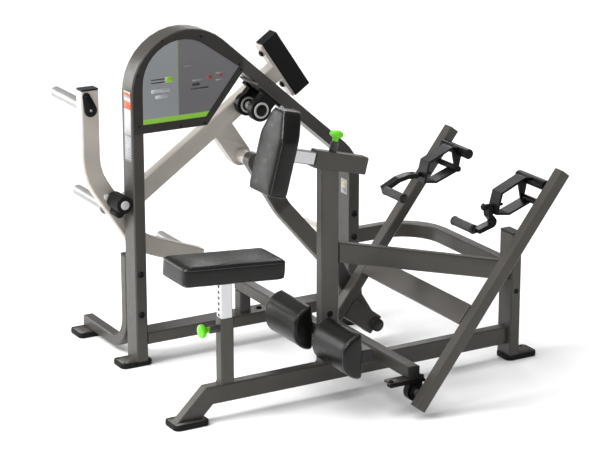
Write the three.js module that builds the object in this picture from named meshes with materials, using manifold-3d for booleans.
// Lever row: a plate-loaded seated rowing machine.
// Millimetres, +Z up. X runs from the seat towards the front column, the way the user faces.
// +Y is the user's left, the side with the weight rocker. The origin is on the floor, at the middle of
// the seat foot; the dimensions below are measured from the floor under the seat post, and the whole
// group is moved by that difference at the end.

import * as THREE from 'three';
import { mergeVertices } from 'three/addons/utils/BufferGeometryUtils.js';
import Module from 'manifold-3d';

const wasm = await Module();
wasm.setup();

// ---------------------------------------------------------------- driving dimensions

const GAP = 0.3;            // left between pieces that touch
const RUN = 0.05;           // running clearance of a shaft in its bearing
const WALL = 3;             // wall of the frame tubes
const CHAMFER = 5;          // long corners of the frame tubes
const PAD_TOP = 20;         // top of the rubber feet
const BASE = PAD_TOP + GAP; // where the frame starts above the feet

const ARCH = {
  back: -48, front: 1010,                // centrelines of the two legs
  depth: 54, y: [686, 786],
  tilt: rad(41.2), reach: 1255,          // slanted beam: angle down and distance from the origin
  backBend: 235, frontBend: 193,
};
const SIDE_BASE = { z: [93, 147] };
const OUTRIGGER = { x: [-75, -25], size: 50, top: 468, end: 1240, bend: 145 };
const SEAT_BASE = { y: [-25, 25], z: [72, 150], knee: -95, footX: -189 };
const SEAT_FOOT = [-268, -109]; // ends of the seat foot along X
const FRONT_COLUMN = { x: [1354, 1404], y: [-49, 49], top: 570 };
const COLUMN = { x: [424, 508], y: [-23, 23] };
const NEAR_RAIL = { y: [-25, 25], height: 86, back: 620, front: 404 };
const FAR_RAIL = { size: 50, z: [376, 442], bend: 200 };
const CAP = 8;              // thickness of the plastic end caps

const SEAT_SLEEVE = { x: [-42, 17], y: [-25.5, 25.5], top: 428 };
const SEAT_POST = { bottom: 280, top: 576 };
const SEAT = { centre: [-12, 636], length: 460, width: 212, thick: 84, corner: 20, tilt: rad(4.6) };

const CHEST = {
  tilt: rad(14.6), start: [396.9, 1032.2], // sleeve axis, from its rear end, down towards the front
  sleeve: [244, 72, 60], tube: [54, 44],
  padBack: -133.7,                          // back of the pad, along the axis
  pad: { thick: 84, lean: 10, half: 95, crownHalf: 39, heights: [-167, 61, 179] },
};

const FOOT_TUBE = { x: [439, 493], z: [246, 300], near: -311, post: [706, 760] };
const FOOT_PAD = { radius: 90, z: [272, 286], y: [66, 328] };

const CROSSBAR = { x: [640, 694], top: 204, half: 345, plate: [556, 722], plateY: [300, 352] };
const ARM = {
  pivot: [675, 93], foot: [650, 43], tip: [1335, 942],
  depth: 48, y: [380, 436], shaft: 15, bearingY: [322, 355],
};
const HANDLE = {
  strapY: [239, 305],
  strap: [[1264, 898], [1226, 904], [1112, 856], [1090, 772], [1149, 763], [1256, 801]],
  peg: { at: [1278, 883], radius: 22, end: 186 },
  pin: { at: [1262, 806], radius: 13 },
  swivel: [1067, 800],
  crank: {
    near: [[1066, 800], [1068, 764], [1098, 728], [1012, 704]],
    far: [[1066, 800], [1017, 803], [972, 794], [900, 760]],
  },
  grip: { radius: 19, length: 160 },
};
const YOKE = { along: 428, height: [-1, 49], width: 90 };
const LINK = { lower: [940, 110], upper: [497, 842], size: [74, 50], lowerY: 465, upperY: 688 };
const BRACKET = { along: [180, 270], reach: 192 };

const ROCKER = {
  pivot: [513, 1073], y: [798, 854], angle: rad(34.2), depth: 80,
  back: 686, front: 205, shaft: 17.5, nearBearing: [640, 676], farBearing: [760, 794],
};
const CARRIER = { path: [[-212, 1213], [-212, 850], [6, 514], [300, 402]], bends: [250, 200] };
const HORN = { radius: 24, collar: 34, length: 300, places: [[-212, 1135], [-122, 684], [276, 411]] };
const STORAGE_HORN = { z: 368, tip: 1130 };
const COUNTERWEIGHT = { along: [215.6, 300], across: [-146, 152], y: [796, 858] };
const BUMPER = { at: [-113, 729], radius: 37.3, near: 694 };

// ---------------------------------------------------------------- finishes

const FINISHES = {
  paint: ['#5b5954', 0.5, 0.35],
  silver: ['#aaa49c', 0.4, 0.5],
  chrome: ['#d5d6d8', 0.15, 1.0],
  vinyl: ['#2b2c29', 0.55, 0.0],
  rubber: ['#1d1d1c', 0.8, 0.0],
  plastic: ['#161617', 0.45, 0.0],
  iron: ['#1c1c1d', 0.6, 0.4],
  knob: ['#6ee614', 0.4, 0.0],
  bezel: ['#26272a', 0.5, 0.1],
  placard: ['#8c9094', 0.45, 0.0],
};

// ---------------------------------------------------------------- solids

function rad(degrees) {
  return degrees * Math.PI / 180;
}

function solid(geometry) {
  const plain = geometry.clone();
  plain.deleteAttribute('normal');
  plain.deleteAttribute('uv');
  const merged = mergeVertices(plain, 1e-4);
  return new wasm.Manifold(new wasm.Mesh({
    numProp: 3,
    vertProperties: new Float32Array(merged.attributes.position.array),
    triVerts: new Uint32Array(merged.index.array),
  }));
}

function geometryOf(body) {
  const raw = body.getMesh();
  const geometry = new THREE.BufferGeometry();
  geometry.setAttribute('position', new THREE.BufferAttribute(new Float32Array(raw.vertProperties), 3));
  geometry.setIndex(new THREE.BufferAttribute(new Uint32Array(raw.triVerts), 1));
  geometry.computeVertexNormals();
  return geometry;
}

const machine = new THREE.Group();

function addPart(name, finish, body) {
  const [color, roughness, metalness] = FINISHES[finish];
  const material = new THREE.MeshStandardMaterial({ color, roughness, metalness });
  const part = new THREE.Mesh(geometryOf(body), material);
  part.name = name;
  machine.add(part);
}

function moved(geometry, matrix) {
  return solid(geometry.clone().applyMatrix4(matrix));
}

function box(x, y, z) {
  const geometry = new THREE.BoxGeometry(x[1] - x[0], y[1] - y[0], z[1] - z[0]);
  geometry.translate((x[0] + x[1]) / 2, (y[0] + y[1]) / 2, (z[0] + z[1]) / 2);
  return solid(geometry);
}

// Each plane maps an outline's first and second coordinates, and its thickness, onto the machine.
const X = new THREE.Vector3(1, 0, 0);
const Y = new THREE.Vector3(0, 1, 0);
const Z = new THREE.Vector3(0, 0, 1);
const PLANES = {
  xy: new THREE.Matrix4().makeBasis(X, Y, Z),
  yz: new THREE.Matrix4().makeBasis(Y, Z, X),
  xz: new THREE.Matrix4().makeBasis(X, Z, Y.clone().negate()),
};

function extrude(points, plane, range, chamfer = 0) {
  const [low, high] = plane === 'xz' ? [-range[1], -range[0]] : range;
  const shape = new THREE.Shape(points.map(([a, b]) => new THREE.Vector2(a, b)));
  const geometry = new THREE.ExtrudeGeometry(shape, {
    depth: high - low - 2 * chamfer,
    bevelEnabled: chamfer > 0,
    bevelThickness: chamfer,
    bevelSize: chamfer,
    bevelOffset: -chamfer,
    bevelSegments: 1,
    steps: 1,
  });
  geometry.translate(0, 0, low + chamfer);
  return moved(geometry, PLANES[plane]);
}

// Points of an arc from one angle to another, in degrees.
function arc(centre, radius, from, to, steps) {
  return Array.from({ length: steps + 1 }, (_, i) => {
    const angle = rad(from + (to - from) * i / steps);
    return [centre[0] + radius * Math.cos(angle), centre[1] + radius * Math.sin(angle)];
  });
}

// Outline of a bar of one depth along a path with rounded bends; the ends can run on past it.
// A bend radius of 0 is a mitred corner.
function barOutline(path, depth, bends = [], overrun = 0) {
  const points = path.map(([a, b]) => new THREE.Vector2(a, b));
  const directions = points.slice(1).map((p, i) => p.clone().sub(points[i]).normalize());
  const left = [];
  const right = [];
  const station = (at, direction) => {
    const side = new THREE.Vector2(-direction.y, direction.x).multiplyScalar(depth / 2);
    left.push([at.x + side.x, at.y + side.y]);
    right.push([at.x - side.x, at.y - side.y]);
  };
  station(points[0].clone().addScaledVector(directions[0], -overrun), directions[0]);
  for (let i = 1; i < points.length - 1; i++) {
    const [a, b] = [directions[i - 1], directions[i]];
    const turn = Math.atan2(a.cross(b), a.dot(b));
    const radius = bends[i - 1] ?? depth;
    if (radius === 0) {
      const miter = new THREE.Vector2(-a.y - b.y, a.x + b.x).setLength(depth / 2 / Math.cos(turn / 2));
      left.push([points[i].x + miter.x, points[i].y + miter.y]);
      right.push([points[i].x - miter.x, points[i].y - miter.y]);
      continue;
    }
    const setback = radius * Math.tan(Math.abs(turn) / 2);
    const start = points[i].clone().addScaledVector(a, -setback);
    const hub = start.clone().addScaledVector(new THREE.Vector2(-a.y, a.x), Math.sign(turn) * radius);
    const steps = Math.max(3, Math.round(Math.abs(turn) / rad(10)));
    for (let k = 0; k <= steps; k++) {
      const swing = turn * k / steps;
      station(start.clone().rotateAround(hub, swing), a.clone().rotateAround(new THREE.Vector2(), swing));
    }
  }
  const last = directions.at(-1);
  station(points.at(-1).clone().addScaledVector(last, overrun), last);
  return [...left, ...right.reverse()];
}

// Hollow rectangular tube along a path in one plane, square cut and open at both ends.
function tube(path, depth, plane, range, bends = [], wall = WALL, chamfer = CHAMFER) {
  const hollow = barOutline(path, depth - 2 * wall, bends, 2);
  const rounded = extrude(barOutline(path, depth, bends, 2 * chamfer), plane, range, chamfer);
  const cut = extrude(barOutline(path, depth, bends), plane, [range[0] - 1, range[1] + 1]);
  const bore = extrude(hollow, plane, [range[0] + wall, range[1] - wall]);
  return rounded.intersect(cut).subtract(bore);
}

// Round bar along Y at a point of the XZ plane.
function rod(at, radius, y, sides = 24) {
  return extrude(arc(at, radius, 0, 360 * (sides - 1) / sides, sides - 1), 'xz', y);
}

// Radius of a faceted bore whose flats clear a shaft.
function boreRadius(shaft, sides = 24) {
  return (shaft + RUN) / Math.cos(Math.PI / sides);
}

function roundedRectangle([x0, x1], [y0, y1], radius, steps = 3) {
  return [
    ...arc([x1 - radius, y1 - radius], radius, 0, 90, steps),
    ...arc([x0 + radius, y1 - radius], radius, 90, 180, steps),
    ...arc([x0 + radius, y0 + radius], radius, 180, 270, steps),
    ...arc([x1 - radius, y0 + radius], radius, 270, 360, steps),
  ];
}

// Plastic cap over a tube end: a rounded plate.
function cap(x, y, z, plane = 'xy') {
  const spans = { xy: [x, y, z], xz: [x, z, y] };
  const [first, second, thickness] = spans[plane];
  return extrude(roundedRectangle(first, second, 6), plane, thickness, 2);
}

// A point measured from a start along a direction and to its left.
function offset(start, angle, along, across = 0) {
  return [
    start[0] + along * Math.cos(angle) - across * Math.sin(angle),
    start[1] + along * Math.sin(angle) + across * Math.cos(angle),
  ];
}

// Rectangle in the XZ plane, given along and across a direction from a start.
function slab(start, angle, along, across, y, chamfer = 0) {
  const corners = [[0, 0], [1, 0], [1, 1], [0, 1]];
  return extrude(corners.map(([i, j]) => offset(start, angle, along[i], across[j])), 'xz', y, chamfer);
}

const mirrored = ([a, b]) => [-b, -a];

// ---------------------------------------------------------------- fixed frame

// Height of the slanted beam's centreline at a distance along X.
const beamHeight = (x) => (ARCH.reach - Math.sin(ARCH.tilt) * x) / Math.cos(ARCH.tilt);

function mainArch() {
  const path = [
    [ARCH.back, BASE], [ARCH.back, beamHeight(ARCH.back)],
    [ARCH.front, beamHeight(ARCH.front)], [ARCH.front, BASE],
  ];
  return tube(path, ARCH.depth, 'xz', ARCH.y, [ARCH.backBend, ARCH.frontBend]);
}

function shroud() {
  const hub = [ARCH.back + ARCH.backBend, 1193];
  const edge = ARCH.backBend + ARCH.depth / 2 - 5;
  const slope = 90 - THREE.MathUtils.radToDeg(ARCH.tilt);
  const face = ARCH.y[0] - GAP;
  const panel = [[hub[0] - edge, 1030], ...arc(hub, edge, 180, slope, 14), [450, 1303], [452, 1246],
    [275, 1030]];
  const print = [[-26, 1069], ...arc([160, 1228], 186, 180, slope + 5, 12), [428, 1268], [268, 1069]];
  addPart('shroud_panel', 'bezel', extrude(panel, 'xz', [face - 3, face]));
  addPart('shroud_placard', 'placard', extrude(print, 'xz', [face - 3 - GAP - 1.2, face - 3 - GAP]));
}

function outrigger() {
  const middle = ARCH.y[1] + GAP + OUTRIGGER.size / 2;
  const low = BASE + OUTRIGGER.size / 2;
  const path = [[middle, OUTRIGGER.top], [middle, low], [OUTRIGGER.end, low]];
  addPart('outrigger', 'paint', tube(path, OUTRIGGER.size, 'yz', OUTRIGGER.x, [OUTRIGGER.bend]));
  const top = OUTRIGGER.top + GAP;
  const sides = [middle - OUTRIGGER.size / 2, middle + OUTRIGGER.size / 2];
  addPart('outrigger_cap', 'plastic', cap(OUTRIGGER.x, sides, [top, top + CAP]));
}

function seatBase() {
  const middle = (SEAT_BASE.z[0] + SEAT_BASE.z[1]) / 2;
  const drop = middle - SEAT_BASE.z[0];
  const slope = (middle - BASE) / (SEAT_BASE.knee - SEAT_BASE.footX);
  const path = [[FRONT_COLUMN.x[0] - GAP, middle], [SEAT_BASE.knee, middle],
    [SEAT_BASE.footX - drop / slope, BASE - drop]];
  const bent = tube(path, 2 * drop, 'xz', SEAT_BASE.y, [0]);
  return bent.subtract(box([-600, 600], [-100, 100], [-200, BASE]));
}

function frontColumn() {
  const { x, y, top } = FRONT_COLUMN;
  const middle = (x[0] + x[1]) / 2;
  addPart('front_column', 'paint', tube([[middle, BASE], [middle, top]], x[1] - x[0], 'xz', y));
  addPart('front_column_cap', 'plastic', cap(x, y, [top + GAP, top + GAP + CAP]));
}

// Direction of the chest sleeve, and a point along and above its axis.
const chestPoint = (along, above = 0) => offset(CHEST.start, -CHEST.tilt, along, above);

function column() {
  const [back, front] = COLUMN.x;
  const under = (x) => {
    const corner = chestPoint(0, -CHEST.sleeve[1] / 2 - GAP);
    return corner[1] - (x - corner[0]) * Math.tan(CHEST.tilt);
  };
  const start = SEAT_BASE.z[1] + GAP;
  const outline = (inset, low, high) => [[back + inset, start - low], [front - inset, start - low],
    [front - inset, under(front - inset) + high], [back + inset, under(back + inset) + high]];
  const shell = extrude(outline(0, 20, 20), 'xz', COLUMN.y, CHAMFER)
    .intersect(extrude(outline(-1, 0, 0), 'xz', [-60, 60]))
    .subtract(extrude(outline(WALL, 40, 40), 'xz', [COLUMN.y[0] + WALL, COLUMN.y[1] - WALL]));
  const { x, z } = FOOT_TUBE;
  return shell.subtract(box([x[0] - GAP, x[1] + GAP], [-60, 60], [z[0] - GAP, z[1] + GAP]));
}

function nearRail() {
  const [x0, x1] = [COLUMN.x[1] + GAP, FRONT_COLUMN.x[0] - GAP];
  const outline = (half, run) => {
    const drop = (NEAR_RAIL.front - NEAR_RAIL.back) / (x1 - x0) * run;
    return [[x0 - run, NEAR_RAIL.back - drop - half], [x1 + run, NEAR_RAIL.front + drop - half],
      [x1 + run, NEAR_RAIL.front + drop + half], [x0 - run, NEAR_RAIL.back - drop + half]];
  };
  const half = NEAR_RAIL.height / 2;
  const [y0, y1] = NEAR_RAIL.y;
  return extrude(outline(half, 2 * CHAMFER), 'xz', [y0, y1], CHAMFER)
    .intersect(extrude(outline(half + 1, 0), 'xz', [y0 - 1, y1 + 1]))
    .subtract(extrude(outline(half - WALL, 1), 'xz', [y0 + WALL, y1 - WALL]));
}

function farRail() {
  const along = (ARCH.y[0] + ARCH.y[1]) / 2;
  const across = (FRONT_COLUMN.x[0] + FRONT_COLUMN.x[1]) / 2;
  const path = [[ARCH.front + ARCH.depth / 2 + GAP, along], [across, along], [across, FRONT_COLUMN.y[1] + GAP]];
  return tube(path, FAR_RAIL.size, 'xy', FAR_RAIL.z, [FAR_RAIL.bend]);
}

function footRest() {
  const { x, z, near, post } = FOOT_TUBE;
  const middle = (x[0] + x[1]) / 2;
  const height = (z[0] + z[1]) / 2;
  const bar = tube([[near, height], [post[1], height]], z[1] - z[0], 'yz', x);
  addPart('foot_rest_tube', 'paint', bar);
  const legs = [[middle, SIDE_BASE.z[1] + GAP], [middle, z[0] - GAP]];
  addPart('foot_rest_post', 'paint', tube(legs, x[1] - x[0], 'xz', post));
  addPart('foot_rest_cap', 'plastic', cap(x, [near - GAP - CAP, near - GAP], z, 'xz'));
  const back = x[0] - GAP;
  const roll = [
    ...arc([back, FOOT_PAD.z[1]], FOOT_PAD.radius, 90, 180, 8),
    ...arc([back, FOOT_PAD.z[0]], FOOT_PAD.radius, 180, 270, 8),
  ];
  addPart('near_foot_pad', 'vinyl', extrude(roll, 'xz', mirrored(FOOT_PAD.y), 6));
  addPart('far_foot_pad', 'vinyl', extrude(roll, 'xz', FOOT_PAD.y, 6));
}

function crossbar() {
  const { x, top, half, plate, plateY } = CROSSBAR;
  const low = SEAT_BASE.z[1] + GAP;
  const height = (low + top) / 2;
  const beam = tube([[-half, height], [half, height]], top - low, 'yz', x);
  const flanges = [plateY, mirrored(plateY)].map((y) => {
    const clipped = [Math.max(y[0], -half), Math.min(y[1], half)];
    return box(plate, clipped, [low - 8.3, low + 1]);
  });
  addPart('crossbar', 'paint', flanges.reduce((sum, flange) => sum.add(flange), beam));
  addPart('near_crossbar_cap', 'plastic', cap(x, [-half - GAP - CAP, -half - GAP], [low, top], 'xz'));
  addPart('far_crossbar_cap', 'plastic', cap(x, [half + GAP, half + GAP + CAP], [low, top], 'xz'));
}

// Pillow block: a round housing carried by a flat foot on one side.
function pillowBlock(at, angle, y, housing, shaft, footDistance, span = [-68, 68]) {
  const foot = slab(at, angle, [footDistance - 12, footDistance], span, y, 2);
  const cheeks = slab(at, angle, [0, footDistance - 6], [-housing * 0.8, housing * 0.8], y);
  const inner = [y[0] - 5, y[1] + 5];
  return rod(at, housing, y).add(cheeks).add(foot).subtract(rod(at, boreRadius(shaft), inner));
}

function bearings() {
  const down = SEAT_BASE.z[1] - 8 - GAP - ARM.pivot[1];
  const span = CROSSBAR.plate.map((x) => ARM.pivot[0] - x).reverse();
  const arm = (y) => pillowBlock(ARM.pivot, rad(90), y, 40, ARM.shaft, down, span);
  addPart('near_arm_bearing', 'iron', arm(mirrored(ARM.bearingY)));
  addPart('far_arm_bearing', 'iron', arm(ARM.bearingY));

  const normal = rad(90) - ARCH.tilt;
  const [x, z] = ROCKER.pivot;
  const up = ARCH.reach - ARCH.depth / 2 - (x * Math.cos(normal) + z * Math.sin(normal)) - GAP;
  const plate = 10;
  const hanger = slab(ROCKER.pivot, normal, [up - plate, up], [-92, 92], [636, 796], 1);
  addPart('rocker_bracket', 'paint', hanger);
  const rocker = (y) => pillowBlock(ROCKER.pivot, normal, y, 50, ROCKER.shaft, up - plate - GAP);
  addPart('near_rocker_bearing', 'iron', rocker(ROCKER.nearBearing));
  addPart('far_rocker_bearing', 'iron', rocker(ROCKER.farBearing));
}

function feet() {
  const pads = {
    seat_foot: [SEAT_FOOT, [-55, 55]],
    front_foot: [[1345, 1501], [-52, 52]],
    upright_foot: [[-148, 1], [684, 788]],
    leg_foot: [[978, 1062], [684, 788]],
    outrigger_foot: [[-144, -20], [1128, 1243]],
  };
  for (const [name, [x, y]] of Object.entries(pads)) {
    addPart(name, 'rubber', extrude(roundedRectangle(x, y, 24, 4), 'xy', [0, PAD_TOP], 3));
  }
}

function frame() {
  addPart('main_arch', 'paint', mainArch());
  shroud();
  const ends = [[ARCH.back + ARCH.depth / 2 + GAP, 120], [ARCH.front - ARCH.depth / 2 - GAP, 120]];
  addPart('side_base_tube', 'paint', tube(ends, SIDE_BASE.z[1] - SIDE_BASE.z[0], 'xz', ARCH.y));
  outrigger();
  addPart('seat_base', 'paint', seatBase());
  addPart('column', 'paint', column());
  frontColumn();
  addPart('near_mid_rail', 'paint', nearRail());
  addPart('far_mid_rail', 'paint', farRail());
  footRest();
  crossbar();
  bearings();
  feet();
  const peg = [ARCH.y[1] + GAP, STORAGE_HORN.tip];
  addPart('storage_horn', 'silver', rod([ARCH.front, STORAGE_HORN.z], HORN.radius, peg));
}

// ---------------------------------------------------------------- seat and chest pad

function turned(profile, at, direction, sides = 20) {
  const geometry = new THREE.LatheGeometry(profile.map(([r, h]) => new THREE.Vector2(r, h)), sides);
  const turn = new THREE.Quaternion().setFromUnitVectors(Y, direction.clone().normalize());
  const matrix = new THREE.Matrix4().compose(new THREE.Vector3(...at), turn, new THREE.Vector3(1, 1, 1));
  return moved(geometry, matrix);
}

const PIN = 5;              // radius of the locking pins
const PULL_HOUSING = [16, 44];

// Threaded housing of a pull pin, and the pin with its mushroom knob.
const pullHousing = (at, out) => {
  const [radius, height] = PULL_HOUSING;
  const bore = PIN + 0.3;
  const profile = [[bore, -20], [radius, -20], [radius, height - 4], [radius - 4, height], [bore, height], [bore, -20]];
  return turned(profile, at, out);
};
const pullKnob = (at, out) => {
  const start = PULL_HOUSING[1] + GAP;
  return turned([[0, -2.7], [PIN, -2.7], [PIN, start], [12, start], [12, start + 14], [25, start + 20],
    [29, start + 28], [27, start + 38], [16, start + 44], [0, start + 46]], at, out);
};

function seat() {
  const { x, y, top } = SEAT_SLEEVE;
  const middle = (x[0] + x[1]) / 2;
  const size = x[1] - x[0];
  const knobAt = [x[0], 0, 385];
  const back = X.clone().negate();
  const shell = tube([[middle, SEAT_BASE.z[1] + GAP], [middle, top]], size, 'xz', y);
  const inside = box([x[0] + WALL, x[1] - WALL], [y[0] + WALL, y[1] - WALL], [300, top + 10]);
  const hole = turned([[0, -30], [PIN + 0.3, -30], [PIN + 0.3, 30], [0, 30]], knobAt, back);
  const sleeve = shell.add(pullHousing(knobAt, back)).subtract(inside).subtract(hole);
  addPart('seat_sleeve', 'paint', sleeve);
  addPart('seat_knob', 'knob', pullKnob(knobAt, back));

  const fit = WALL + 0.4;
  const post = tube([[middle, SEAT_POST.bottom], [middle, SEAT_POST.top + 20]], size - 2 * fit, 'xz',
    [y[0] + fit, y[1] - fit], [], WALL, 4);
  const under = -SEAT.thick / 2 - GAP;
  const carrier = slab(SEAT.centre, -SEAT.tilt, [-120, 120], [under - 8, under], [-60, 60], 1);
  const above = slab(SEAT.centre, -SEAT.tilt, [-120, 120], [under - 8, 60], [-60, 60]);
  addPart('seat_post', 'chrome', post.subtract(above).add(carrier));

  const halfLength = SEAT.length / 2;
  const plan = roundedRectangle([-halfLength, halfLength], [-SEAT.width / 2, SEAT.width / 2],
    SEAT.corner, 4);
  const shape = new THREE.Shape(plan.map(([a, b]) => new THREE.Vector2(a, b)));
  const cushion = new THREE.ExtrudeGeometry(shape, {
    depth: SEAT.thick - 16, bevelEnabled: true, bevelThickness: 8, bevelSize: 8, bevelOffset: -8,
    bevelSegments: 2, steps: 1,
  });
  cushion.translate(0, 0, 8 - SEAT.thick / 2);
  const place = new THREE.Matrix4().makeRotationY(SEAT.tilt).setPosition(SEAT.centre[0], 0, SEAT.centre[1]);
  addPart('seat_cushion', 'vinyl', moved(cushion, place));
}

function chest() {
  const [length, height, width] = CHEST.sleeve;
  const [tubeHeight, tubeWidth] = CHEST.tube;
  const axis = -CHEST.tilt;
  const fit = 0.4;
  const bar = (along, size, half) => {
    const start = CHEST.start;
    return slab(start, axis, along, [-size / 2, size / 2], [-half, half]);
  };
  const knobAlong = 84;
  const knobAt = chestPoint(knobAlong, height / 2);
  const place = [knobAt[0], 0, knobAt[1]];
  const up = new THREE.Vector3(Math.sin(CHEST.tilt), 0, Math.cos(CHEST.tilt));
  const block = slab(CHEST.start, axis, [-20, length + 20], [-height / 2, height / 2],
    [-width / 2, width / 2], CHAMFER).intersect(bar([0, length], height + 2, width / 2 + 1));
  const hole = turned([[0, -30], [PIN + 0.3, -30], [PIN + 0.3, 30], [0, 30]], place, up);
  const bore = bar([-5, length + 5], tubeHeight + 2 * fit, tubeWidth / 2 + fit);
  addPart('chest_sleeve', 'paint', block.add(pullHousing(place, up)).subtract(bore).subtract(hole));
  addPart('chest_knob', 'knob', pullKnob(place, up));

  const back = CHEST.padBack + GAP;
  const path = [chestPoint(back + 4), chestPoint(216)];
  const slide = tube(path, tubeHeight, 'xz', [-tubeWidth / 2, tubeWidth / 2], [], WALL, 4);
  const plate = slab(CHEST.start, axis, [back, back + 8], [-90, 58], [-55, 55], 1);
  addPart('chest_slide', 'chrome', slide.add(plate));

  // The pad is straight up to its shoulders, then leans forward and narrows to the crown.
  const { thick, lean, half, crownHalf, heights: [foot, shoulder, crown] } = CHEST.pad;
  const [rear, face] = [CHEST.padBack, CHEST.padBack - thick];
  const pad = [chestPoint(rear, foot), chestPoint(rear, shoulder), chestPoint(rear + lean, crown),
    chestPoint(face + lean, crown), chestPoint(face, shoulder), chestPoint(face, foot)];
  const outline = [[-half, foot - 40], [half, foot - 40], [half, shoulder], [crownHalf, crown + 10],
    [-crownHalf, crown + 10], [-half, shoulder]];
  const along = new THREE.Vector3(Math.cos(CHEST.tilt), 0, -Math.sin(CHEST.tilt));
  const stand = new THREE.Matrix4().makeBasis(along, Y, along.clone().cross(Y));
  stand.setPosition(CHEST.start[0], 0, CHEST.start[1]);
  const taper = extrude(outline, 'yz', [-400, 100]).transform([...stand.elements]);
  addPart('chest_pad', 'vinyl', extrude(pad, 'xz', [-half, half], 12).intersect(taper));
}

// ---------------------------------------------------------------- arms, handles and link

const armAngle = Math.atan2(ARM.tip[1] - ARM.foot[1], ARM.tip[0] - ARM.foot[0]);
const armLength = Math.hypot(ARM.tip[0] - ARM.foot[0], ARM.tip[1] - ARM.foot[1]);
const onArm = (along, across) => offset(ARM.foot, armAngle, along, across);

function arms() {
  const sides = { near: mirrored, far: (range) => range };
  for (const [side, place] of Object.entries(sides)) {
    const lever = tube([ARM.foot, ARM.tip], ARM.depth, 'xz', place(ARM.y));
    const shaft = rod(ARM.pivot, ARM.shaft, place([ARM.bearingY[0] - 4, ARM.y[0] + 2]));
    addPart(`${side}_arm`, 'paint', lever.add(shaft));
    handle(side, place);
  }
  const inside = ARM.y[0] - GAP;
  const middle = onArm(YOKE.along, (YOKE.height[0] + YOKE.height[1]) / 2 - ARM.depth / 2);
  const shell = (inset, reach, chamfer) => slab(middle, armAngle,
    [inset - YOKE.width / 2, YOKE.width / 2 - inset],
    [inset - (YOKE.height[1] - YOKE.height[0]) / 2, (YOKE.height[1] - YOKE.height[0]) / 2 - inset],
    [-reach, reach], chamfer);
  const bar = shell(0, inside, 3).subtract(shell(WALL, inside + 1, 0));
  addPart('yoke_tube', 'paint', bar);
}

function linkBracket() {
  const [a0, a1] = BRACKET.along;
  const from = -ARM.depth / 2 - GAP;
  const path = [onArm((a0 + a1) / 2, from), onArm((a0 + a1) / 2, -BRACKET.reach)];
  const bracket = tube(path, a1 - a0, 'xz', ARM.y);
  const gusset = extrude([onArm(a1 - 2, from), onArm(a1 + 70, from), onArm(a1 - 2, from - 60)], 'xz',
    [ARM.y[0] + 20, ARM.y[1] - 20]);
  const boss = rod(LINK.lower, 29, [ARM.y[0] - 8, ARM.y[1] + 3.7]);
  addPart('link_bracket', 'paint', bracket.add(gusset).add(boss));
}

function link() {
  const [dx, dz] = [LINK.lower[0] - LINK.upper[0], LINK.lower[1] - LINK.upper[1]];
  const length = Math.hypot(dx, dz);
  const past = 40;
  const path = [[-past, LINK.upperY], [0.32 * length, LINK.upperY], [0.62 * length, LINK.lowerY],
    [length + past, LINK.lowerY]];
  const [width, depth] = LINK.size;
  const half = width / 2;
  const eyeY = [LINK.upperY - depth / 2, LINK.upperY + depth / 2];
  const eye = rod([0, 0], half, eyeY);
  const beyond = box([0, length + 2 * past], [LINK.lowerY - depth, LINK.upperY + depth], [-half, half]);
  const flat = tube(path, depth, 'xy', [-half, half], [60, 60], 4).intersect(eye.add(beyond)).add(eye);
  const along = new THREE.Vector3(dx / length, 0, dz / length);
  const stand = new THREE.Matrix4().makeBasis(along, Y, along.clone().cross(Y));
  stand.setPosition(LINK.upper[0], 0, LINK.upper[1]);
  addPart('link', 'paint', flat.transform([...stand.elements]));
}

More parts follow.
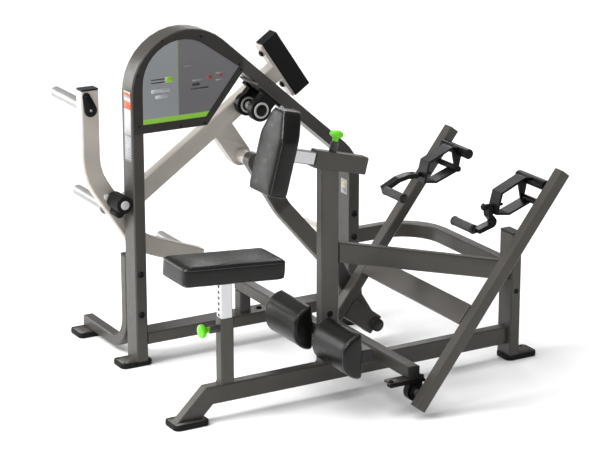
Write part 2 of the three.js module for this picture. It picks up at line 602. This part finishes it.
// Handle: a strap hung from a peg and a pin on the arm, and a crank with a grip that swivels below it.
function handle(side, place) {
  const { strapY, strap, peg, pin, crank, swivel, grip } = HANDLE;
  const loop = extrude(barOutline(strap, 9, [8, 0, 0, 0]), 'xz', place(strapY));
  const web = extrude([strap[1], peg.at, pin.at, [1246, 800], [1236, 850]], 'xz', place([strapY[0], strapY[0] + 10]));
  const arm = ARM.y[0] - GAP;
  const pegs = rod(peg.at, peg.radius, place([peg.end, arm])).add(rod(pin.at, pin.radius, place([strapY[0], arm])));
  addPart(`${side}_handle_strap`, 'iron', loop.add(web).add(pegs));

  const middle = (strapY[0] + strapY[1]) / 2;
  const sign = Math.sign(place([1, 2])[0]);
  const collar = turned([[0, -22], [11, -22], [11, 21], [0, 21]], [swivel[0], sign * middle, swivel[1]], X);
  const path = crank[side];
  const root = path.at(-1);
  const bar = extrude(barOutline(path, 20, [14, 14]), 'xz', place([middle - 20, middle + 20]));
  const stub = rod(root, 10, place([middle - grip.length + 6, middle]));
  addPart(`${side}_handle`, 'iron', collar.add(bar).add(stub));
  const sleeve = rod(root, grip.radius, place([middle - grip.length, middle - 20 - GAP]));
  const socket = rod(root, 10 + GAP, place([middle - grip.length + 5, middle + 30]));
  addPart(`${side}_grip`, 'rubber', sleeve.subtract(socket));
}

// ---------------------------------------------------------------- weight rocker

function rocker() {
  const { pivot, angle, y, depth, back, front } = ROCKER;
  const beam = tube([offset(pivot, angle, -back), offset(pivot, angle, front)], depth, 'xz', y);
  const fork = offset(pivot, angle, -142);
  const branch = extrude(barOutline([fork, LINK.upper], 96), 'xz', y);
  const eye = rod(LINK.upper, 48, y);
  const inside = slab(pivot, angle, [-back - 1, front + 1], [-depth / 2 + WALL, depth / 2 - WALL],
    [y[0] + WALL, y[1] - WALL]);
  const plate = slab(pivot, angle, [front - 2, front + 10], [-140, 146], [y[0] + 2, y[1] - 2]);
  addPart('rocker_beam', 'silver', beam.add(branch.add(eye).subtract(inside)).add(plate));

  addPart('rocker_shaft', 'silver', rod(pivot, ROCKER.shaft, [ROCKER.nearBearing[0] - 4, y[0] - GAP]));
  addPart('link_pin', 'silver', rod(LINK.upper, 30, [LINK.upperY + LINK.size[1] / 2 + GAP, y[0] - GAP]));

  addPart('plate_carrier', 'silver', tube(CARRIER.path, depth, 'xz', y, CARRIER.bends));
  const [top] = CARRIER.path;
  const lid = cap([top[0] - depth / 2, top[0] + depth / 2], y, [top[1] + GAP, top[1] + GAP + CAP]);
  addPart('carrier_cap', 'plastic', lid);
  HORN.places.forEach((at, i) => {
    const collar = rod(at, HORN.collar, [y[1] + GAP, y[1] + GAP + 12]);
    addPart(`plate_horn_${i + 1}`, 'silver', collar.add(rod(at, HORN.radius, [y[1] + GAP, y[1] + HORN.length])));
  });

  const { along, across } = COUNTERWEIGHT;
  addPart('counterweight', 'iron', slab(pivot, angle, along, across, COUNTERWEIGHT.y, 3));
  addPart('bumper', 'rubber', rod(BUMPER.at, BUMPER.radius, [BUMPER.near, y[0] - GAP]));
}

frame();
seat();
chest();
arms();
linkBracket();
link();
rocker();

machine.position.x = -(SEAT_FOOT[0] + SEAT_FOOT[1]) / 2;

export default machine;
